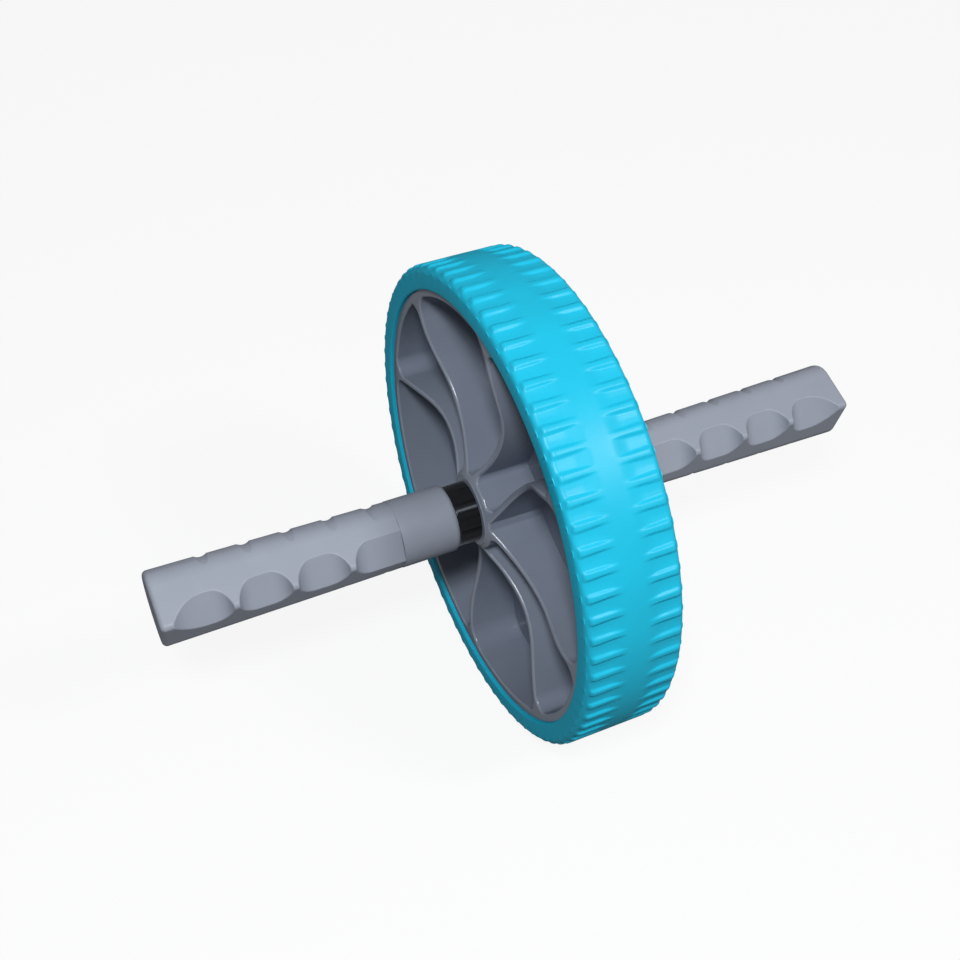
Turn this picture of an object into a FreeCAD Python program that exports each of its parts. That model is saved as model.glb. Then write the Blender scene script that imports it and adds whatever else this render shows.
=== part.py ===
import FreeCAD, Part
import math
import os

# Ab wheel roller: a ribbed teal tyre on a grey wheel that spins between two finger grips.
# Millimetres.  X runs along the axle from the left grip to the right one, Y from front to back
# and Z up.  The roller stands on its tread: Z = 0 is the floor, the axle is one tread radius up.

# Tyre
TYRE_OD = 185.0          # over the flat middle of the tread
TYRE_WIDTH = 36.0        # over the sidewalls
CROWN_WIDTH = 6.0        # smooth band in the middle of the tread
SHOULDER_R = 2.5         # rounding from tread to sidewall
LAND_DROP = 0.7          # fall of the tread between the cross ribs, at the shoulder
TREAD_RIBS = 72          # cross ribs round the tread
TREAD_RIB_W = 2.9        # width of one cross rib
TREAD_RIB_END_R = 4.5    # rounding of the rib ends, which run out in the shoulders
TREAD_RIB_INSET = 0.5    # from the sidewall to the foot of that rounding, inside the tyre
TYRE_DEPTH = 9.1         # from the tread down to the rim
TYRE_LIP = 0.8           # chamfer at the inner edge of each sidewall
KEY_WIDTH = 12.0         # band inside the tyre that sits in the rim's channel
KEY_DEPTH = 1.2

# Wheel core
RIM_WALL = 1.8           # rim under its channel
RIM_WIDTH = 33.0         # rim edge to rim edge
WEB = 2.4                # web that closes the pockets
WEB_OFFSET = 4.7         # how far it lies right of the middle plane
HUB_LENGTH = 38.6        # over the two hub ends
HUB_OD = 27.4            # hub tube where it stands out of the ribs
HUB_ROOT = 1.6           # how much thicker the hub's wall is between the ribs
HUB_EDGE_R = 0.3         # rounding of the hub ends
HUB_BORE_OD = 18.6       # bore between the two bushes
SPOKES = 4               # spokes, each a pair of curved ribs
RIB_WALL = 2.4
RIB_LEAN_A = 6.0         # degrees that the first rib of each pair leans at the hub
RIB_LEAN_B = -23.4       # and the second one
RIB_LEAN_RIM = -3.0      # degrees that both lean at the rim
RIB_BOW_A = -11.4        # sideways bow of the first rib of each pair, at its middle
RIB_BOW_B = 14.4         # and of the second one
RIB_EDGE_HUB = 18.9      # height of the rib edges over the middle plane, at the hub
RIB_EDGE_MID = 11.6      # and at the lowest point of their dished edge
RIB_EDGE_SLOPE = 0.55    # how steeply the dished edges leave the hub
RIB_RUNOUT = 1.5         # flat end of the dished edges, flush with the rim edge
RIB_EDGE_R = 0.8         # rounding of the rib and rim edges
PETAL_CORNER_R = 9.0     # rounding of the wide pockets at the rim
GAP_CORNER_R = 5.0       # and of the narrow ones
PETAL_ROOT_R = 1.2       # rounding of the wide pockets at the hub, where they are narrow
GAP_ROOT_R = 2.5         # and of the narrow ones

# Bushes in the hub
BUSH_OD = 22.0
BUSH_LENGTH = 12.0
BUSH_RECESS = 0.3        # how far each bush lies inside its hub end

# Axle
TUBE_OD = 16.0
TUBE_WALL = 1.5
TUBE_LENGTH = 268.6
SPACER_OD = 23.0         # bright sleeve between the hub and each grip
SPACER_LENGTH = 8.7
SPACER_EDGE_R = 0.4
PLUG_HEAD = 1.8          # head of the plug that closes each tube end
PLUG_HEAD_OD = 15.4
PLUG_SHANK = 14.0

# Grips
GRIP_OD = 28.4           # round palm side at the outer end
GRIP_TAPER = 3.4         # how much thinner it is next to the collar
GRIP_END_WALL = 3.4      # closed outer end
GRIP_END_R = 1.8         # rounding of the outer end
COLLAR_LENGTH = 22.0     # full round part next to the wheel
COLLAR_STEP = 0.3        # how much thicker the collar is than the palm side beside it
COLLAR_EDGE_R = 1.8
FLAT_CUT = 2.1           # depth at the outer end of the two flats that meet in the finger ridge
RIDGE_HALF_ANGLE = 44.0  # degrees between the ridge and the normal of each flat
RIDGE_R = 2.0            # rounding of the ridge
FLAT_BLEND_R = 8.0       # blend from the flats to the round palm side
RIDGE_CLOCK_LEFT = 20.0  # degrees of the ridge above the front, left grip
RIDGE_CLOCK_RIGHT = 28.0
SCOOPS = 4               # finger scoops; the one next to the collar is only half of one
SCOOP_INSET = 16.1       # from the grip's outer end to the middle of the first scoop
SCOOP_LAST = 9.85        # from the collar's step to the middle of the last scoop
SCOOP_WALL = 1.8         # thin wall between two scoops
SCOOP_DEPTH = 1.4        # from the flats down to the flat floor of a scoop, at the axis
SCOOP_CORNER = 0.36      # rounding from the floor up to the walls, per scoop width
SCOOP_END = 0.78         # the same at the outer end of the first scoop
SCOOP_END_RUN = 5.4      # how much further that end runs out
SCOOP_EDGE_R = 0.7       # rounding of the scoop edges
PALM_GROOVES = 5
PALM_GROOVE_INSET = 20.9  # from the grip's outer end to the first groove
PALM_GROOVE_LAST = 6.65  # from the collar's step to the last groove
PALM_GROOVE_R = 4.0      # rounding of the floor of a groove
PALM_GROOVE_DEPTH = 1.1  # at the back, opposite the ridge
PALM_GROOVE_SHIFT = 0.6  # how far the grooves lie off the axis, so that they run out at the flats

# Fits
SEAT_GAP = 0.05          # between pieces that are pushed or moulded together
RUN_GAP = 0.08           # radial, tube in the bushes
SIDE_GAP = 0.3           # between each bush and its spacer, which turn past each other

# Sizes that follow
V = FreeCAD.Vector
TYRE_R = TYRE_OD / 2
RIM_R = TYRE_R - TYRE_DEPTH
RIM_INNER_R = RIM_R - KEY_DEPTH - RIM_WALL
RIM_HALF = RIM_WIDTH / 2
DISH_R = RIM_INNER_R - RIB_RUNOUT
DISH_LOW_R = (HUB_OD / 2 + DISH_R) / 2
SEAM_TURN = 90.0 / SPOKES   # puts the start of turned faces between two ribs
HUB_ROOT_OD = HUB_OD + 2 * HUB_ROOT
HUB_HALF = HUB_LENGTH / 2
BUSH_FACE = HUB_HALF - BUSH_RECESS
BUSH_SHOULDER = BUSH_FACE - BUSH_LENGTH
SPACER_START = BUSH_FACE + SIDE_GAP
GRIP_START = SPACER_START + SPACER_LENGTH
STEP_X = GRIP_START + COLLAR_LENGTH
TUBE_HALF = TUBE_LENGTH / 2
GRIP_BORE_END = TUBE_HALF + PLUG_HEAD + SEAT_GAP
GRIP_END = GRIP_BORE_END + GRIP_END_WALL
GRIP_BORE_R = TUBE_OD / 2 + SEAT_GAP
GRIP_INNER_OD = GRIP_OD - GRIP_TAPER
COLLAR_OD = GRIP_INNER_OD + COLLAR_STEP
FLAT_DIST = GRIP_OD / 2 - FLAT_CUT
SCOOP_FLOOR = FLAT_DIST - SCOOP_DEPTH
SCOOP_PITCH = (GRIP_END - SCOOP_INSET - STEP_X - SCOOP_LAST) / (SCOOPS - 1)
SCOOP_WIDTH = SCOOP_PITCH - SCOOP_WALL
SCOOP_CORNER_R = SCOOP_CORNER * SCOOP_WIDTH
SCOOP_END_R = SCOOP_END * SCOOP_WIDTH
PALM_GROOVE_PITCH = (GRIP_END - PALM_GROOVE_INSET - STEP_X - PALM_GROOVE_LAST) / (PALM_GROOVES - 1)
LEFT, RIGHT = -1, 1


def line(a, b):
    """Straight edge between two (x, radius) points."""
    return Part.makeLine(V(a[0], 0, a[1]), V(b[0], 0, b[1]))


def turned(edges):
    """Solid of revolution about the axle, from a closed profile in x and radius."""
    face = Part.Face(Part.Wire(Part.__sortEdges__(edges)))
    return face.revolve(V(0, 0, 0), V(1, 0, 0), 360)


def rod(x0, x1, radius):
    """Cylinder on the axle between two x positions."""
    return Part.makeCylinder(radius, x1 - x0, V(x0, 0, 0), V(1, 0, 0))


def sleeve(x0, x1, outer_r, inner_r):
    """Tube on the axle between two x positions."""
    return rod(x0, x1, outer_r).cut(rod(x0, x1, inner_r))


def rings(shape, x, radius):
    """Circular edges of a shape at one x position and radius."""
    found = []
    for edge in shape.Edges:
        box = edge.BoundBox
        at_x = abs(box.XMin - x) < 1e-4 and abs(box.XMax - x) < 1e-4
        if at_x and abs(box.ZMax - radius) < 1e-3 and abs(box.YMax - radius) < 1e-3:
            found.append(edge)
    return found


def both_sides(shape):
    """A shape and its mirror image in the middle plane of the wheel."""
    return [shape, shape.mirror(V(0, 0, 0), V(1, 0, 0))]


def shoulder_arc(x, radius, bend, side):
    """Quarter arc of a tyre shoulder about the point (x, radius)."""
    reach = bend * math.sqrt(0.5)
    top = V(x, 0, radius + bend)
    middle = V(x + side * reach, 0, radius + reach)
    foot = V(x + side * bend, 0, radius)
    return Part.Arc(top, middle, foot).toShape()


def tyre_profile():
    """Tyre between its cross ribs: crowned tread, lowered shoulders, sidewalls and key band."""
    half = TYRE_WIDTH / 2
    bend_x = half - SHOULDER_R
    bend_r = TYRE_R - LAND_DROP - SHOULDER_R
    bore_r = RIM_R + SEAT_GAP
    key_r = bore_r - KEY_DEPTH
    key_x = KEY_WIDTH / 2 - SEAT_GAP
    crown_x = CROWN_WIDTH / 2
    edges = [line((-crown_x, TYRE_R), (crown_x, TYRE_R)), line((-key_x, key_r), (key_x, key_r))]
    for side in (LEFT, RIGHT):
        run = [
            (side * half, bend_r),
            (side * half, bore_r + TYRE_LIP),
            (side * (half - TYRE_LIP), bore_r),
            (side * key_x, bore_r),
            (side * key_x, key_r),
        ]
        edges.append(line((side * crown_x, TYRE_R), (side * bend_x, bend_r + SHOULDER_R)))
        edges.append(shoulder_arc(side * bend_x, bend_r, SHOULDER_R, side))
        edges.extend(line(a, b) for a, b in zip(run, run[1:]))
    return edges


def tread_rib():
    """One cross rib: a thin bar from shoulder to shoulder with rounded ends."""
    foot_x = TYRE_WIDTH / 2 - TREAD_RIB_INSET
    bend_x = foot_x - TREAD_RIB_END_R
    crest = math.sqrt(TYRE_R ** 2 - (TREAD_RIB_W / 2) ** 2)
    bend_r = crest - TREAD_RIB_END_R
    edges = [line((-bend_x, crest), (bend_x, crest)), line((-foot_x, bend_r), (foot_x, bend_r))]
    for side in (LEFT, RIGHT):
        edges.append(shoulder_arc(side * bend_x, bend_r, TREAD_RIB_END_R, side))
    bar = Part.Face(Part.Wire(Part.__sortEdges__(edges))).extrude(V(0, TREAD_RIB_W, 0))
    bar.translate(V(0, -TREAD_RIB_W / 2, 0))
    return bar


def make_tyre():
    """Tyre; the floor touches it midway between two cross ribs."""
    bars = []
    for i in range(TREAD_RIBS):
        bar = tread_rib()
        bar.rotate(V(0, 0, 0), V(1, 0, 0), 360.0 / TREAD_RIBS * (i + 0.5))
        bars.append(bar)
    return turned(tyre_profile()).multiFuse(bars).removeSplitter()


def rib_spot(rib, t):
    """Point on the middle line of a rib, from t = 0 inside the hub to t = 1 inside the rim."""
    hub_r = HUB_ROOT_OD / 2 - RIB_WALL / 2
    rim_r = RIM_INNER_R + RIB_WALL / 2
    r = hub_r + (rim_r - hub_r) * t
    lean, bow = (RIB_LEAN_A, RIB_BOW_A) if rib % 2 == 0 else (RIB_LEAN_B, RIB_BOW_B)
    turn = 180.0 / SPOKES * rib + lean + (RIB_LEAN_RIM - lean) * t
    angle = math.radians(turn) + bow / r * 4 * t * (1 - t)
    return V(0, -r * math.cos(angle), r * math.sin(angle))


def rib_face(rib, offset):
    """Plan curve of one face of a rib, at a distance from its middle line."""
    steps = 12
    points = []
    for i in range(steps + 1):
        t = i / steps
        along = rib_spot(rib, t + 0.01) - rib_spot(rib, t - 0.01)
        along.normalize()
        points.append(rib_spot(rib, t) + V(0, along.z, -along.y) * offset)
    curve = Part.BSplineCurve()
    curve.interpolate(points)
    return curve.toShape()


def pocket_corners(space, near_hub):
    """Corner edges of a pocket that run along the axle, at its hub end or at its rim end."""
    found = []
    for edge in space.Edges:
        box = edge.BoundBox
        if box.XLength > WEB and box.YLength < 1e-3 and box.ZLength < 1e-3:
            at_hub = math.hypot(box.Center.y, box.Center.z) < RIM_R / 2
            if at_hub == near_hub:
                found.append(edge)
    return found


def pocket(rib, floor):
    """Space between a rib and the next one, from its floor on the web out to the hub end."""
    near = rib_face(rib, RIB_WALL / 2)
    far = rib_face(rib + 1, -RIB_WALL / 2)
    hub_side = Part.makeLine(near.Vertexes[0].Point, far.Vertexes[0].Point)
    middle = math.radians(180.0 / SPOKES * (rib + 0.5))
    out = V(0, -math.cos(middle), math.sin(middle)) * RIM_R
    a, b = near.Vertexes[-1].Point, far.Vertexes[-1].Point
    rim_side = [Part.makeLine(a, a + out), Part.makeLine(a + out, b + out), Part.makeLine(b + out, b)]
    wire = Part.Wire(Part.__sortEdges__([near, hub_side, far] + rim_side))
    wire.translate(V(floor, 0, 0))
    space = Part.Face(wire).extrude(V(HUB_HALF - floor, 0, 0))
    space = space.common(rod(floor, HUB_HALF, RIM_INNER_R)).cut(rod(floor, HUB_HALF, HUB_ROOT_OD / 2))
    rim_r, root_r = (PETAL_CORNER_R, PETAL_ROOT_R) if rib % 2 == 0 else (GAP_CORNER_R, GAP_ROOT_R)
    space = space.makeFillet(rim_r, pocket_corners(space, False))
    return space.makeFillet(root_r, pocket_corners(space, True))


def rib_dish():
    """What is cut away above the dished edges of the ribs, on one side of the wheel."""
    hub_r, rim_r = HUB_OD / 2, DISH_R
    far = HUB_HALF + WEB
    low = V(RIB_EDGE_MID, 0, DISH_LOW_R)
    curve = Part.BSplineCurve()
    curve.interpolate(
        Points=[V(RIB_EDGE_HUB, 0, hub_r), low, V(RIM_HALF, 0, rim_r)],
        InitialTangent=V(-RIB_EDGE_SLOPE, 0, 1),
        FinalTangent=V(0, 0, 1),
    )
    run = [(RIM_HALF, rim_r), (far, rim_r), (far, hub_r), (RIB_EDGE_HUB, hub_r)]
    dish = turned([curve.toShape()] + [line(a, b) for a, b in zip(run, run[1:])])
    dish.rotate(V(0, 0, 0), V(1, 0, 0), SEAM_TURN)
    return dish


def pocket_mouths(body):
    """Edges where the pockets open into the dished rib edges and the flat rim edges."""
    found = []
    for face in body.Faces:
        box = face.BoundBox
        rim_edge = box.XLength < 1e-4 and abs(abs(box.XMin) - RIM_HALF) < 1e-4
        if not rim_edge and not isinstance(face.Surface, Part.SurfaceOfRevolution):
            continue
        for edge in face.Edges:
            middle = edge.valueAt((edge.FirstParameter + edge.LastParameter) / 2)
            r = math.hypot(middle.y, middle.z)
            run_out = abs(r - DISH_R) < 1e-3 and edge.BoundBox.XLength < 1e-4
            inside = HUB_OD / 2 + 1e-2 < r < RIM_INNER_R + 1e-2
            if inside and not run_out and not any(edge.isSame(other) for other in found):
                found.append(edge)
    return found


def make_wheel_core():
    """Rim, hub, web and curved ribs, moulded in one piece."""
    body = rod(-RIM_HALF, RIM_HALF, RIM_R)
    body = body.fuse(rod(-HUB_HALF, HUB_HALF, DISH_LOW_R))
    body.rotate(V(0, 0, 0), V(1, 0, 0), SEAM_TURN)
    cuts = both_sides(rib_dish())
    for rib in range(2 * SPOKES):
        cuts.append(pocket(rib, WEB_OFFSET + WEB / 2))
        cuts.append(left(pocket(rib, WEB / 2 - WEB_OFFSET)))
    body = body.cut(cuts)
    body = body.makeFillet(RIB_EDGE_R, pocket_mouths(body))
    hub_rings = rings(body, -HUB_HALF, HUB_OD / 2) + rings(body, HUB_HALF, HUB_OD / 2)
    body = body.makeFillet(HUB_EDGE_R, hub_rings)
    channel = sleeve(-KEY_WIDTH / 2, KEY_WIDTH / 2, RIM_R + KEY_DEPTH, RIM_R - KEY_DEPTH)
    bush_seats = both_sides(rod(BUSH_SHOULDER, HUB_HALF, BUSH_OD / 2))
    return body.cut([channel, rod(-HUB_HALF, HUB_HALF, HUB_BORE_OD / 2)] + bush_seats)


def make_bush():
    """Plain bush in the right end of the hub."""
    return sleeve(BUSH_SHOULDER, BUSH_FACE, BUSH_OD / 2 - SEAT_GAP, TUBE_OD / 2 + RUN_GAP)


def make_tube():
    """Steel tube that carries the wheel and both grips."""
    return sleeve(-TUBE_HALF, TUBE_HALF, TUBE_OD / 2, TUBE_OD / 2 - TUBE_WALL)


def make_spacer():
    """Bright sleeve between the right hub end and the right grip."""
    ring = sleeve(SPACER_START, GRIP_START, SPACER_OD / 2, TUBE_OD / 2 + SEAT_GAP)
    edges = rings(ring, SPACER_START, SPACER_OD / 2) + rings(ring, GRIP_START, SPACER_OD / 2)
    return ring.makeFillet(SPACER_EDGE_R, edges)


def make_plug():
    """Plug that closes the right end of the tube."""
    shank = rod(TUBE_HALF - PLUG_SHANK, TUBE_HALF, TUBE_OD / 2 - TUBE_WALL - SEAT_GAP)
    return shank.fuse(rod(TUBE_HALF, TUBE_HALF + PLUG_HEAD, PLUG_HEAD_OD / 2)).removeSplitter()


def palm_radius(x):
    """Radius of the round palm side at one x position; it widens from the collar outwards."""
    return (GRIP_INNER_OD + (GRIP_OD - GRIP_INNER_OD) * (x - STEP_X) / (GRIP_END - STEP_X)) / 2


def long_edges(bar, lowest, highest):
    """Edges that run the length of the grip bar, between two y positions."""
    found = []
    for edge in bar.Edges:
        if edge.BoundBox.XLength > COLLAR_LENGTH and lowest < edge.CenterOfMass.y < highest:
            found.append(edge)
    return found


def ridge_bar():
    """Grip outside its collar: a tapered round bar with two flats that meet in a ridge along -Y."""
    half = math.radians(RIDGE_HALF_ANGLE)
    run = V(GRIP_END - STEP_X, 0, 0)
    start = V(STEP_X, 0, 0)
    palm = Part.makeCone(GRIP_INNER_OD / 2, GRIP_OD / 2, run.x, start, V(1, 0, 0))
    palm.rotate(V(0, 0, 0), V(1, 0, 0), 90)
    tip = start - V(0, FLAT_DIST / math.cos(half), 0)
    feet, backs = [], []
    for side in (-1, 1):
        feet.append(start + V(0, -math.cos(half), side * math.sin(half)) * FLAT_DIST)
        backs.append(tip + V(0, math.sin(half), side * math.cos(half)) * 3 * GRIP_OD)
    between_flats = Part.Face(Part.makePolygon([tip, backs[0], backs[1], tip])).extrude(run)
    ridge = Part.Face(Part.makePolygon([start, feet[0], tip, feet[1], start])).extrude(run)
    bar = palm.common(between_flats).fuse(ridge).removeSplitter()
    bar = bar.makeFillet(RIDGE_R, long_edges(bar, -GRIP_OD, -FLAT_DIST))
    bar = bar.makeFillet(FLAT_BLEND_R, long_edges(bar, -FLAT_DIST, -RIDGE_R))
    return bar.makeFillet(GRIP_END_R, [e for e in bar.Edges if e.BoundBox.XMin > GRIP_END - 1e-4])


def scoop_corner(x, radius, side):
    """Quarter arc from the floor of a scoop up to its wall at x."""
    reach = radius * (1 - math.sqrt(0.5))
    low = V(x - side * radius, -SCOOP_FLOOR, -GRIP_OD)
    middle = V(x - side * reach, -SCOOP_FLOOR - reach, -GRIP_OD)
    high = V(x, -SCOOP_FLOOR - radius, -GRIP_OD)
    return Part.Arc(low, middle, high).toShape()


def finger_scoop(number):
    """Cut for one finger; the last one runs out flat to the collar's step."""
    middle = GRIP_END - SCOOP_INSET - SCOOP_PITCH * number
    inner = middle - SCOOP_WIDTH / 2
    outer = middle + SCOOP_WIDTH / 2
    bend = SCOOP_CORNER_R
    if number == 0:
        outer += SCOOP_END_RUN
        bend = SCOOP_END_R
    far = scoop_corner(outer, bend, 1)
    edges = [far]
    if number < SCOOPS - 1:
        near = scoop_corner(inner, SCOOP_CORNER_R, -1)
        edges.append(near)
        low, high = near.Vertexes[0].Point, near.Vertexes[-1].Point
    else:
        low = high = V(STEP_X, -SCOOP_FLOOR, -GRIP_OD)
    out = V(0, -GRIP_OD, 0)
    top = far.Vertexes[-1].Point
    ring = [top, top + out, V(high.x, top.y, top.z) + out, high]
    edges.append(Part.makeLine(low, far.Vertexes[0].Point))
    edges.extend(Part.makeLine(a, b) for a, b in zip(ring, ring[1:]))
    return Part.Face(Part.Wire(Part.__sortEdges__(edges))).extrude(V(0, 0, 2 * GRIP_OD))


def scoop_edges(grip):
    """Edges of the scoops on the flats and the ridge."""
    found = []
    for face in grip.Faces:
        box = face.BoundBox
        floor = isinstance(face.Surface, Part.Plane) and box.YLength < 1e-4
        corner = isinstance(face.Surface, Part.Cylinder) and abs(face.Surface.Axis.z) > 0.9
        if not floor and not corner:
            continue
        for edge in face.Edges:
            upright = edge.BoundBox.XLength < 1e-6 and edge.BoundBox.YLength < 1e-6
            if not upright and not any(edge.isSame(other) for other in found):
                found.append(edge)
    return found


def palm_grooves():
    """Round-bottomed grooves across the palm side, deepest at the back."""
    front = -FLAT_DIST * math.cos(math.radians(RIDGE_HALF_ANGLE))
    cuts = []
    for i in range(PALM_GROOVES):
        x = GRIP_END - PALM_GROOVE_INSET - PALM_GROOVE_PITCH * i
        middle = V(x, -PALM_GROOVE_SHIFT, 0)
        ring_r = palm_radius(x) - PALM_GROOVE_DEPTH + PALM_GROOVE_SHIFT + PALM_GROOVE_R
        ring = Part.makeTorus(ring_r, PALM_GROOVE_R, middle, V(1, 0, 0))
        ring.rotate(middle, V(1, 0, 0), 90)
        corner = V(x - PALM_GROOVE_R, front, -2 * GRIP_OD)
        behind = Part.makeBox(2 * PALM_GROOVE_R, 2 * GRIP_OD, 4 * GRIP_OD, corner)
        cuts.append(ring.common(behind))
    return cuts


def make_grip(clock):
    """Right grip, with its finger ridge turned up from the front by an angle."""
    collar = rod(GRIP_START, STEP_X, COLLAR_OD / 2)
    collar = collar.makeFillet(COLLAR_EDGE_R, rings(collar, GRIP_START, COLLAR_OD / 2))
    grip = ridge_bar().fuse(collar).cut([finger_scoop(i) for i in range(SCOOPS)])
    grip = grip.makeFillet(SCOOP_EDGE_R, scoop_edges(grip))
    grip = grip.cut(palm_grooves() + [rod(GRIP_START, GRIP_BORE_END, GRIP_BORE_R)])
    grip.rotate(V(0, 0, 0), V(1, 0, 0), -clock)
    return grip


def left(shape):
    """Mirror image of a piece, for the left end."""
    return shape.mirror(V(0, 0, 0), V(1, 0, 0))


def build():
    """All pieces by name, with the axle on the X axis."""
    return {
        "tyre": make_tyre(),
        "wheel_core": make_wheel_core(),
        "hub_bush_left": left(make_bush()),
        "hub_bush_right": make_bush(),
        "axle_tube": make_tube(),
        "spacer_left": left(make_spacer()),
        "spacer_right": make_spacer(),
        "tube_plug_left": left(make_plug()),
        "tube_plug_right": make_plug(),
        "grip_left": left(make_grip(RIDGE_CLOCK_LEFT)),
        "grip_right": make_grip(RIDGE_CLOCK_RIGHT),
    }


if __name__ == "__main__":
    os.makedirs("parts", exist_ok=True)
    for node, shape in build().items():
        shape.translate(V(0, 0, TYRE_R))
        shape.exportStep("parts/" + node + ".step")
        print(node, shape.isValid(), len(shape.Solids), round(shape.Volume))
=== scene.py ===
"""Looks of an ab wheel roller: tyre, wheel core, grips, sleeves, hidden pieces and a pale studio."""

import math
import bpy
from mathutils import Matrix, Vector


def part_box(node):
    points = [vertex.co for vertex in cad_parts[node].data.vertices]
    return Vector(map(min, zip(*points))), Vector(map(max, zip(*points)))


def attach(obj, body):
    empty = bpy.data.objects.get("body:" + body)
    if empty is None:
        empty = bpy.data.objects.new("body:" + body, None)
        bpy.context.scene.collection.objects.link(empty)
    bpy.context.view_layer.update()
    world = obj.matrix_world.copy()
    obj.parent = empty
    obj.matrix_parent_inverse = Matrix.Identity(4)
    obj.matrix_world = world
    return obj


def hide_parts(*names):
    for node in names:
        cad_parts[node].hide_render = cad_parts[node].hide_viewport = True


bl_info = {
    "name": "Ab wheel roller looks",
    "version": (1, 0, 0),
    "blender": (4, 5, 0),
    "location": "View3D > Sidebar > Roller",
    "description": "Dresses the packed roller and sets up its studio",
    "category": "Object",
}

import bpy
from bpy.props import FloatProperty, FloatVectorProperty, IntProperty, PointerProperty
from mathutils import Vector

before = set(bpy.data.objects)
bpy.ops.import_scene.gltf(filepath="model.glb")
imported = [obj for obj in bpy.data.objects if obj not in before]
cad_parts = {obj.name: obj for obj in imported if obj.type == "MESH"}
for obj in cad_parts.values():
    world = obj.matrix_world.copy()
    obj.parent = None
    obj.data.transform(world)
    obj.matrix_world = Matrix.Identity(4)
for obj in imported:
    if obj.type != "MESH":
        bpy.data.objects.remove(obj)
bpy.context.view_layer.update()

MM = 0.001
TYRE_LOW, TYRE_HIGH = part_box("tyre")
TYRE_RADIUS = (TYRE_HIGH.z - TYRE_LOW.z) / 2
TYRE_WIDTH = TYRE_HIGH.x - TYRE_LOW.x
AXLE_HEIGHT = (TYRE_HIGH.z + TYRE_LOW.z) / 2
SENSOR_WIDTH = 36.0


def linear(hex_colour):
    """An sRGB hex colour as linear red, green and blue."""
    parts = [int(hex_colour[i:i + 2], 16) / 255 for i in (0, 2, 4)]
    return tuple(c / 12.92 if c <= 0.04045 else ((c + 0.055) / 1.055) ** 2.4 for c in parts)


def paint(name, description, hex_colour):
    """A colour property with its default written in sRGB hex."""
    return FloatVectorProperty(
        name=name, description=description, subtype="COLOR", size=3, min=0, max=1,
        default=linear(hex_colour))


def length(name, description, millimetres):
    """A length property with its default written in millimetres."""
    return FloatProperty(
        name=name, description=description, subtype="DISTANCE", unit="LENGTH", precision=5,
        default=millimetres * MM)


def position(name, description, metres):
    """A property for a place in the scene, in metres."""
    return FloatVectorProperty(
        name=name, description=description, subtype="TRANSLATION", unit="LENGTH", size=3, default=metres)


class RollerTyre(bpy.types.PropertyGroup):
    """Sizes and colours of the tyre."""

    radius: length("Radius", "Tyre radius over the ribs", TYRE_RADIUS / MM)
    width: length("Width", "Tyre width over the sidewalls", TYRE_WIDTH / MM)
    ribs: IntProperty(name="Ribs", description="Cross ribs around the tread", default=72, min=3)
    rib_width: length("Rib width", "Width of a rib's foot at its shoulder end", 4.6)
    rib_tip: length("Rib tip", "Width of a rib's foot where it fades into the middle band", 3.4)
    rib_crest: length("Rib crest", "Width of the flat crest of a rib", 1.2)
    rib_end: length("Rib end", "Rounding of the rib ends, which run out on the shoulders", 2.2)
    rib_inset: length("Rib inset", "From the sidewall to the foot of that rounding", 0.8)
    land_drop: length("Land drop", "Depth of the lands below the rib tops at the shoulder", 0.85)
    land_run: length("Land run", "Width over which the lands fall away from the middle band", 7.0)
    land_hollow: FloatProperty(
        name="Land hollow", description="Hollow between two ribs, per rib height", default=0.12)
    crown: length("Middle band", "Width of the smooth band in the middle", 6.0)
    shoulder: length("Shoulder", "Radius from tread to sidewall", 2.5)
    bore: length("Bore radius", "Radius where the tyre sits on the rim", 83.45)
    lip: length("Lip", "Rounding of the sidewall at the rim", 0.8)
    key_width: length("Key width", "Width of the band that keys into the rim", 11.9)
    key_depth: length("Key depth", "Depth of the band that keys into the rim", 1.2)
    colour: paint("Colour", "Tyre rubber", "1ECDF0")
    shade: paint("Shade", "Tyre rubber where the moulding is duller", "1AC0E2")


class RollerFinish(bpy.types.PropertyGroup):
    """Colours of the other pieces."""

    core: paint("Core", "Wheel core plastic", "9199A9")
    core_shade: paint("Core shade", "Wheel core plastic in the flow marks", "858D9D")
    grip: paint("Grip", "Grip plastic", "A8ADBA")
    grip_shade: paint("Grip shade", "Grip plastic in the hollows of its grain", "9EA4B1")
    # The sleeve colour is painted nearly black: a painted reflection of a dark room in the chrome.
    sleeve_painted_dark: paint("Sleeve", "Sleeve chrome, painted dark for a reflected dark room", "313336")
    steel: paint("Tube", "Zinc plated tube", "B4B8BC")
    bush: paint("Bush", "Bush plastic", "D9D7CE")
    plug: paint("Plug", "Tube plug plastic", "2A2B2E")


class RollerStage(bpy.types.PropertyGroup):
    """Camera, floor and lamps."""

    floor: length("Floor", "Side of the square floor", 9000)
    floor_colour: paint("Floor colour", "Pale floor as the camera sees it", "FAFAFA")
    floor_bounce: paint("Floor bounce", "Floor colour that lights the roller from below", "686868")
    lens: FloatProperty(name="Lens", description="Focal length in mm on a 36 mm sensor", default=49.41)
    turn: FloatProperty(
        name="Turn", description="Camera heading", subtype="ANGLE", default=math.radians(-24.337))
    tilt: FloatProperty(
        name="Tilt", description="Camera looking down", subtype="ANGLE", default=math.radians(43.287))
    eye: position("Eye", "Camera place", (-0.16025, -0.32083, 0.43807))
    key_place: position("Key place", "Key lamp above the camera's left", (-0.225, -0.39, 0.693))
    key_size: length("Key size", "Side of the key lamp", 100)
    key_power: FloatProperty(name="Key", description="Key lamp power in watts", default=3.05)
    side_place: position("Side place", "Side lamp on the camera's right", (0.506, -0.711, 1.055))
    side_size: length("Side size", "Side of the side lamp", 200)
    side_power: FloatProperty(name="Side", description="Side lamp power in watts", default=5.4)
    sky: FloatProperty(name="Sky", description="Strength of the even light all around", default=0.12)
    glow: FloatProperty(
        name="Glow", description="Share of the floor's white that the lamps don't change", default=0.9)


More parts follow.
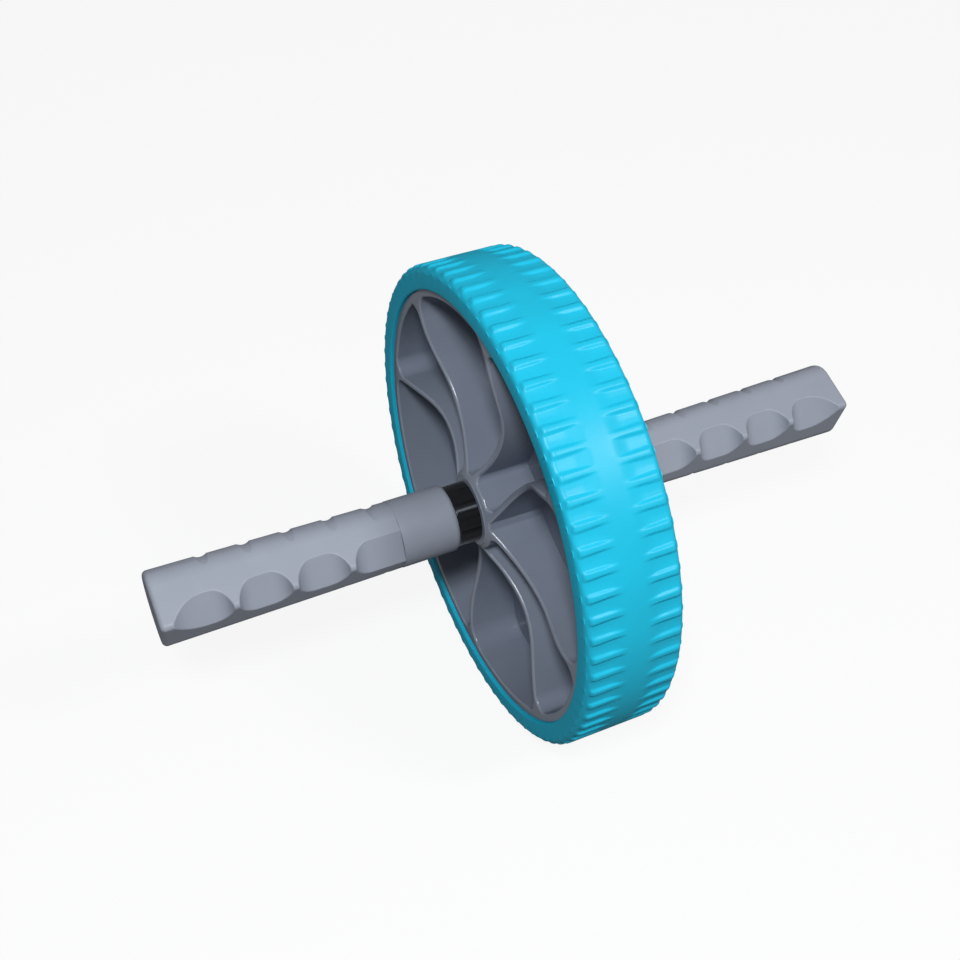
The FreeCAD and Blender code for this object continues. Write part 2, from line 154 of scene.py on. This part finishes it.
class RollerLooks(bpy.types.PropertyGroup):
    """All values of the roller's looks."""

    tyre: PointerProperty(type=RollerTyre)
    finish: PointerProperty(type=RollerFinish)
    stage: PointerProperty(type=RollerStage)


# Most values of a noise texture lie between these two.
NOISE_LOW, NOISE_HIGH = 0.3, 0.7
# Depth of a mould's skin and of drawing lines.
SKIN_DEPTH = 0.2 * MM
LINE_DEPTH = 0.05 * MM
# So high that the sheen is nearly as strong seen straight on as at a flat angle.
SHEEN_IOR = 4.0
# A quarter turn takes the streaks of light from round a tube to along it.
QUARTER_TURN = 0.25


def add(tree, kind, inputs=None, **settings):
    """Adds a node, sets its attributes, and fills or links its inputs."""
    node = tree.nodes.new(kind)
    for name, value in settings.items():
        setattr(node, name, value)
    for name, value in (inputs or {}).items():
        if isinstance(value, bpy.types.NodeSocket):
            tree.links.new(value, node.inputs[name])
        else:
            node.inputs[name].default_value = value
    return node


def blank(name):
    """A new material and its empty node tree."""
    material = bpy.data.materials.new(name)
    material.use_nodes = True
    material.node_tree.nodes.clear()
    return material, material.node_tree


def rgba(colour):
    """A colour with full alpha."""
    return (*colour, 1.0)


def close(tree, shader):
    """Links a shader to the material's output."""
    add(tree, "ShaderNodeOutputMaterial", {"Surface": shader.outputs[0]})


def sheen(tree, colour, gloss, normal, weight):
    """Coloured plastic under a thin even sheen, which doesn't veil the colour at a flat angle."""
    shader = add(tree, "ShaderNodeBsdfPrincipled", {
        "Base Color": colour, "Roughness": gloss, "Normal": normal, "Specular IOR Level": 0.0,
        "Coat Weight": weight, "Coat IOR": SHEEN_IOR, "Coat Roughness": gloss, "Coat Normal": normal})
    close(tree, shader)


def tyre_rubber(tyre):
    """Thermoplastic rubber, moulded: full colour, a broad soft highlight and a faint skin."""
    material, tree = blank("Thermoplastic rubber, moulded teal")
    place = add(tree, "ShaderNodeTexCoord").outputs["Object"]
    # Cloudy patches about 14 mm across, from the melt, change colour and gloss a little.
    cloud = add(tree, "ShaderNodeTexNoise", {"Vector": place, "Scale": 1 / (14 * MM), "Detail": 3.0})
    # The mould's skin is about 0.2 mm fine; it is drawn at 0.8 mm so that it shows.
    skin = add(tree, "ShaderNodeTexNoise", {"Vector": place, "Scale": 1 / (0.8 * MM), "Detail": 2.0})
    colour = add(tree, "ShaderNodeMix", {
        "Factor": cloud.outputs["Fac"], 6: rgba(tyre.shade), 7: rgba(tyre.colour)}, data_type="RGBA")
    gloss = add(tree, "ShaderNodeMapRange", {
        "Value": cloud.outputs["Fac"], "From Min": NOISE_LOW, "From Max": NOISE_HIGH,
        "To Min": 0.36, "To Max": 0.42})
    bump = add(tree, "ShaderNodeBump", {
        "Height": skin.outputs["Fac"], "Strength": 0.12, "Distance": SKIN_DEPTH})
    sheen(tree, colour.outputs[2], gloss.outputs["Result"], bump.outputs["Normal"], weight=0.07)
    return material


def moulded_plastic(name, colour, shade, rough, patch, grain, relief, weight):
    """A moulded grey plastic: patches in colour and gloss, and the grain of its mould."""
    material, tree = blank(name)
    place = add(tree, "ShaderNodeTexCoord").outputs["Object"]
    cloud = add(tree, "ShaderNodeTexNoise", {"Vector": place, "Scale": 1 / (patch * MM), "Detail": 3.0})
    skin = add(tree, "ShaderNodeTexNoise", {"Vector": place, "Scale": 1 / (grain * MM), "Detail": 2.0})
    mixed = add(tree, "ShaderNodeMix", {
        "Factor": cloud.outputs["Fac"], 6: rgba(shade), 7: rgba(colour)}, data_type="RGBA")
    gloss = add(tree, "ShaderNodeMapRange", {
        "Value": skin.outputs["Fac"], "From Min": NOISE_LOW, "From Max": NOISE_HIGH,
        "To Min": rough - 0.04, "To Max": rough + 0.06})
    bump = add(tree, "ShaderNodeBump", {
        "Height": skin.outputs["Fac"], "Strength": relief, "Distance": SKIN_DEPTH})
    sheen(tree, mixed.outputs[2], gloss.outputs["Result"], bump.outputs["Normal"], weight)
    return material


def drawn_metal(name, colour, rough, line, relief):
    """A plated tube with fine lines from drawing, polished so that lights streak along it."""
    material, tree = blank(name)
    place = add(tree, "ShaderNodeTexCoord").outputs["Object"]
    # Lines run along X: the pattern is stretched a hundredfold that way.
    stretch = add(tree, "ShaderNodeMapping", {"Vector": place, "Scale": (0.01, 1, 1)})
    lines = add(tree, "ShaderNodeTexNoise", {
        "Vector": stretch.outputs["Vector"], "Scale": 1 / (line * MM), "Detail": 2.0})
    gloss = add(tree, "ShaderNodeMapRange", {
        "Value": lines.outputs["Fac"], "From Min": NOISE_LOW, "From Max": NOISE_HIGH,
        "To Min": rough * 0.7, "To Max": rough * 1.4})
    bump = add(tree, "ShaderNodeBump", {
        "Height": lines.outputs["Fac"], "Strength": relief, "Distance": LINE_DEPTH})
    around = add(tree, "ShaderNodeTangent", direction_type="RADIAL", axis="X")
    shader = add(tree, "ShaderNodeBsdfPrincipled", {
        "Base Color": rgba(colour), "Metallic": 1.0, "Roughness": gloss.outputs["Result"],
        "Normal": bump.outputs["Normal"], "Tangent": around.outputs["Tangent"],
        "Anisotropic": 1.0, "Anisotropic Rotation": QUARTER_TURN})
    close(tree, shader)
    return material


def dress(node_name, material):
    """Gives a carried-over CAD piece its finish."""
    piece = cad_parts[node_name]
    piece.data.materials.clear()
    piece.data.materials.append(material)


def ease(t):
    """Smooth step from 0 to 1."""
    t = min(max(t, 0.0), 1.0)
    return t * t * (3 - 2 * t)


TREAD_STEPS = 28
SHOULDER_STEPS = 14
LIP_STEPS = 4
SHARP_ANGLE = math.radians(50)


def tyre_side(tyre):
    """Half the tyre's outline from the middle to the key, as x, radius on a land, height of a rib there
    and how far out that is on the tread."""
    half = tyre.width / 2
    bend_x = half - tyre.shoulder
    bend_r = tyre.radius - tyre.land_drop - tyre.shoulder
    crown_x = tyre.crown / 2
    end_x = half - tyre.rib_inset - tyre.rib_end
    rows = []

    def row(x, land):
        """Adds one row, with the rounded end of the rib taken off its height."""
        past = min(max(x - end_x, 0), tyre.rib_end)
        top = tyre.radius - tyre.rib_end + math.sqrt(tyre.rib_end ** 2 - past ** 2)
        out = min(max((x - crown_x) / (bend_x - crown_x), 0), 1)
        rows.append((x, land, max(top - land, 0), out))

    for i in range(TREAD_STEPS):
        x = bend_x * i / TREAD_STEPS
        row(x, tyre.radius - tyre.land_drop * ease((x - crown_x) / tyre.land_run))
    for i in range(SHOULDER_STEPS + 1):
        a = math.pi / 2 * (1 - i / SHOULDER_STEPS)
        row(bend_x + tyre.shoulder * math.cos(a), bend_r + tyre.shoulder * math.sin(a))
    lip_r = tyre.bore + tyre.lip
    for i in range(LIP_STEPS + 1):
        a = math.pi / 2 * i / LIP_STEPS
        rows.append((half - tyre.lip * (1 - math.cos(a)), lip_r - tyre.lip * math.sin(a), 0, 1))
    key_x = tyre.key_width / 2
    rows.append((key_x, tyre.bore, 0, 1))
    rows.append((key_x, tyre.bore - tyre.key_depth, 0, 1))
    return rows


FLANK_STEPS = 6
LAND_STEPS = 3
RIB_STEPS = 1 + FLANK_STEPS + LAND_STEPS


def rib_step(tyre, step, out):
    """Distance from a rib's middle line and share of its height there, for one step from rib to land."""
    crest = tyre.rib_crest / 2
    foot = (tyre.rib_tip + (tyre.rib_width - tyre.rib_tip) * out) / 2
    middle = math.pi * tyre.radius / tyre.ribs
    if step <= 1:
        return crest * step, 1.0
    if step <= 1 + FLANK_STEPS:
        share = (step - 1) / FLANK_STEPS
        return crest + (foot - crest) * share, 1 - ease(share)
    share = (step - 1 - FLANK_STEPS) / LAND_STEPS
    return foot + (middle - foot) * share, -tyre.land_hollow * ease(share)


def tyre_mesh(tyre):
    """Closed tyre: its outline goes round the axle and swells into rounded ribs on the way."""
    side = tyre_side(tyre)
    outline = [(-x, land, rib, out) for x, land, rib, out in reversed(side[1:])] + side
    pitch = 2 * math.pi / tyre.ribs
    verts = []
    for rib_number in range(tyre.ribs):
        for step in range(-RIB_STEPS, RIB_STEPS):
            for x, land, rib, out in outline:
                away, rise = rib_step(tyre, abs(step), out)
                angle = pitch * (rib_number + 0.5) + math.copysign(away, step) / tyre.radius
                r = land + rib * rise
                verts.append((x, r * math.sin(angle), AXLE_HEIGHT - r * math.cos(angle)))
    around = tyre.ribs * 2 * RIB_STEPS
    count = len(outline)
    faces = []
    for i in range(around):
        a, b = i * count, (i + 1) % around * count
        for j in range(count):
            k = (j + 1) % count
            faces.append((a + j, a + k, b + k, b + j))
    mesh = bpy.data.meshes.new("tyre_tread")
    mesh.from_pydata(verts, [], faces)
    mesh.validate()
    mesh.shade_smooth()
    mesh.set_sharp_from_angle(angle=SHARP_ANGLE)
    return mesh


class ROLLER_OT_tyre(bpy.types.Operator):
    """Make the ribbed tyre and put it in the place of the plain one"""

    bl_idname = "roller.tyre"
    bl_label = "Tyre"

    def execute(self, context):
        tyre = context.scene.roller.tyre
        piece = bpy.data.objects.new("tyre_tread", tyre_mesh(tyre))
        context.scene.collection.objects.link(piece)
        piece.data.materials.append(tyre_rubber(tyre))
        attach(piece, "wheel")
        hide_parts("tyre")
        return {"FINISHED"}


class ROLLER_OT_core(bpy.types.Operator):
    """Finish the wheel core in satin moulded plastic"""

    bl_idname = "roller.core"
    bl_label = "Wheel core"

    def execute(self, context):
        finish = context.scene.roller.finish
        # ABS from a polished mould: satin, with clear soft reflections and faint flow marks.
        material = moulded_plastic(
            "ABS, moulded satin grey", finish.core, finish.core_shade,
            rough=0.2, patch=18, grain=1.0, relief=0.004, weight=0.12)
        dress("wheel_core", material)
        return {"FINISHED"}


class ROLLER_OT_grips(bpy.types.Operator):
    """Finish the two grips in matte moulded plastic"""

    bl_idname = "roller.grips"
    bl_label = "Grips"

    def execute(self, context):
        finish = context.scene.roller.finish
        # Polypropylene from an eroded mould: matte, a fine even grain, soft edges.
        material = moulded_plastic(
            "Polypropylene, moulded matte grey", finish.grip, finish.grip_shade,
            rough=0.4, patch=12, grain=0.7, relief=0.02, weight=0.08)
        for name in ("grip_left", "grip_right"):
            dress(name, material)
        return {"FINISHED"}


class ROLLER_OT_sleeves(bpy.types.Operator):
    """Finish the two sleeves between hub and grips in chrome, painted dark for the reflection of a dark
    room
    """

    bl_idname = "roller.sleeves"
    bl_label = "Sleeves"

    def execute(self, context):
        finish = context.scene.roller.finish
        # Chrome on drawn steel, its colour painted nearly black as a painted reflection of a dark room,
        # with sharp bright lines along it.
        material = drawn_metal(
            "Chrome on drawn steel, painted dark reflection", finish.sleeve_painted_dark, rough=0.3, line=1.2, relief=0.04)
        for name in ("spacer_left", "spacer_right"):
            dress(name, material)
        return {"FINISHED"}


class ROLLER_OT_axle(bpy.types.Operator):
    """Finish the tube, its plugs and the hub bushes, which are hidden inside"""

    bl_idname = "roller.axle"
    bl_label = "Axle, plugs and bushes"

    def execute(self, context):
        finish = context.scene.roller.finish
        # Zinc on a welded steel tube: pale grey, a little cloudy, fine lines along it.
        tube = drawn_metal("Zinc, plated on steel tube", finish.steel, rough=0.3, line=0.6, relief=0.3)
        dress("axle_tube", tube)
        # Polyethylene: black and waxy.
        plug = moulded_plastic(
            "Polyethylene, moulded black", finish.plug, finish.plug,
            rough=0.45, patch=8, grain=0.7, relief=0.1, weight=0.06)
        # Acetal: milky white, smooth from running.
        bush = moulded_plastic(
            "Acetal, moulded white", finish.bush, finish.bush,
            rough=0.3, patch=8, grain=0.7, relief=0.05, weight=0.06)
        for end in ("left", "right"):
            dress("tube_plug_" + end, plug)
            dress("hub_bush_" + end, bush)
        return {"FINISHED"}


WHITE = (1.0, 1.0, 1.0)
KEY_COLOUR = (0.94, 0.97, 1.0)


def lamp(scene, name, place, aim, size, power, colour):
    """A soft square lamp that looks at a point."""
    data = bpy.data.lights.new(name, "AREA")
    data.shape = "SQUARE"
    data.size = size
    data.energy = power
    data.color = colour
    thing = bpy.data.objects.new(name, data)
    thing.location = place
    thing.rotation_euler = (Vector(aim) - Vector(place)).to_track_quat("-Z", "Y").to_euler()
    scene.collection.objects.link(thing)


def seen_directly(tree):
    """1 for what the camera sees directly, in a mirror or through glass, and 0 for light."""
    path = add(tree, "ShaderNodeLightPath")
    seen = add(tree, "ShaderNodeMath", {
        0: path.outputs["Is Camera Ray"], 1: path.outputs["Is Glossy Ray"]}, operation="MAXIMUM")
    return add(tree, "ShaderNodeMath", {
        0: seen.outputs[0], 1: path.outputs["Is Transmission Ray"]}, operation="MAXIMUM").outputs[0]


class ROLLER_OT_stage(bpy.types.Operator):
    """Make the camera, the pale floor, the even sky and the lamps"""

    bl_idname = "roller.stage"
    bl_label = "Stage"

    def execute(self, context):
        scene = context.scene
        stage = scene.roller.stage
        scene.view_settings.view_transform = "Standard"
        view = bpy.data.cameras.new("photo_view")
        view.lens = stage.lens
        view.sensor_width = SENSOR_WIDTH
        eye = bpy.data.objects.new("photo_view", view)
        eye.location = stage.eye
        eye.rotation_euler = (math.pi / 2 - stage.tilt, 0, stage.turn)
        scene.collection.objects.link(eye)
        scene.camera = eye

        half = stage.floor / 2
        mesh = bpy.data.meshes.new("floor")
        mesh.from_pydata(
            [(-half, -half, 0), (half, -half, 0), (half, half, 0), (-half, half, 0)], [], [(0, 1, 2, 3)])
        floor = bpy.data.objects.new("floor", mesh)
        scene.collection.objects.link(floor)
        # Matte white card. It shows nearly white to the camera and keeps a soft shadow.
        material, tree = blank("Card, matte white")
        card = add(tree, "ShaderNodeBsdfDiffuse", {"Color": rgba(stage.floor_colour)})
        glow = add(tree, "ShaderNodeEmission", {"Color": rgba(WHITE), "Strength": 1.0})
        white = add(tree, "ShaderNodeMixShader", {0: stage.glow, 1: card.outputs[0], 2: glow.outputs[0]})
        bounce = add(tree, "ShaderNodeBsdfDiffuse", {"Color": rgba(stage.floor_bounce)})
        close(tree, add(tree, "ShaderNodeMixShader", {
            0: seen_directly(tree), 1: bounce.outputs[0], 2: white.outputs[0]}))
        mesh.materials.append(material)

        world = bpy.data.worlds.new("Even sky")
        world.use_nodes = True
        tree = world.node_tree
        tree.nodes.clear()
        seen = seen_directly(tree)
        strength = add(tree, "ShaderNodeMapRange", {
            "Value": seen, "To Min": stage.sky, "To Max": stage.glow})
        sky = add(tree, "ShaderNodeBackground", {
            "Color": rgba(WHITE), "Strength": strength.outputs["Result"]})
        add(tree, "ShaderNodeOutputWorld", {"Surface": sky.outputs[0]})
        scene.world = world

        aim = (0, 0, AXLE_HEIGHT)
        lamp(scene, "key_lamp", stage.key_place, aim, stage.key_size, stage.key_power, KEY_COLOUR)
        lamp(scene, "side_lamp", stage.side_place, aim, stage.side_size, stage.side_power, WHITE)
        return {"FINISHED"}


class ROLLER_PT_looks(bpy.types.Panel):
    """Lists the roller's pieces and values."""

    bl_idname = "ROLLER_PT_looks"
    bl_label = "Ab wheel roller"
    bl_space_type = "VIEW_3D"
    bl_region_type = "UI"
    bl_category = "Roller"

    def draw(self, context):
        looks = context.scene.roller
        for operator in OPERATORS:
            self.layout.operator(operator.bl_idname)
        for group in (looks.tyre, looks.finish, looks.stage):
            box = self.layout.box()
            for name in group.bl_rna.properties.keys():
                if name not in ("rna_type", "name"):
                    box.prop(group, name)


GROUPS = (RollerTyre, RollerFinish, RollerStage, RollerLooks)
OPERATORS = (
    ROLLER_OT_tyre, ROLLER_OT_core, ROLLER_OT_grips, ROLLER_OT_sleeves, ROLLER_OT_axle, ROLLER_OT_stage)


def register():
    for group in (*GROUPS, *OPERATORS, ROLLER_PT_looks):
        bpy.utils.register_class(group)
    bpy.types.Scene.roller = PointerProperty(type=RollerLooks)


def unregister():
    del bpy.types.Scene.roller
    for group in reversed((*GROUPS, *OPERATORS, ROLLER_PT_looks)):
        bpy.utils.unregister_class(group)


def main():
    register()
    bpy.ops.roller.tyre()
    bpy.ops.roller.core()
    bpy.ops.roller.grips()
    bpy.ops.roller.sleeves()
    bpy.ops.roller.axle()
    bpy.ops.roller.stage()
    bpy.context.view_layer.update()


if __name__ == "__main__":
    main()
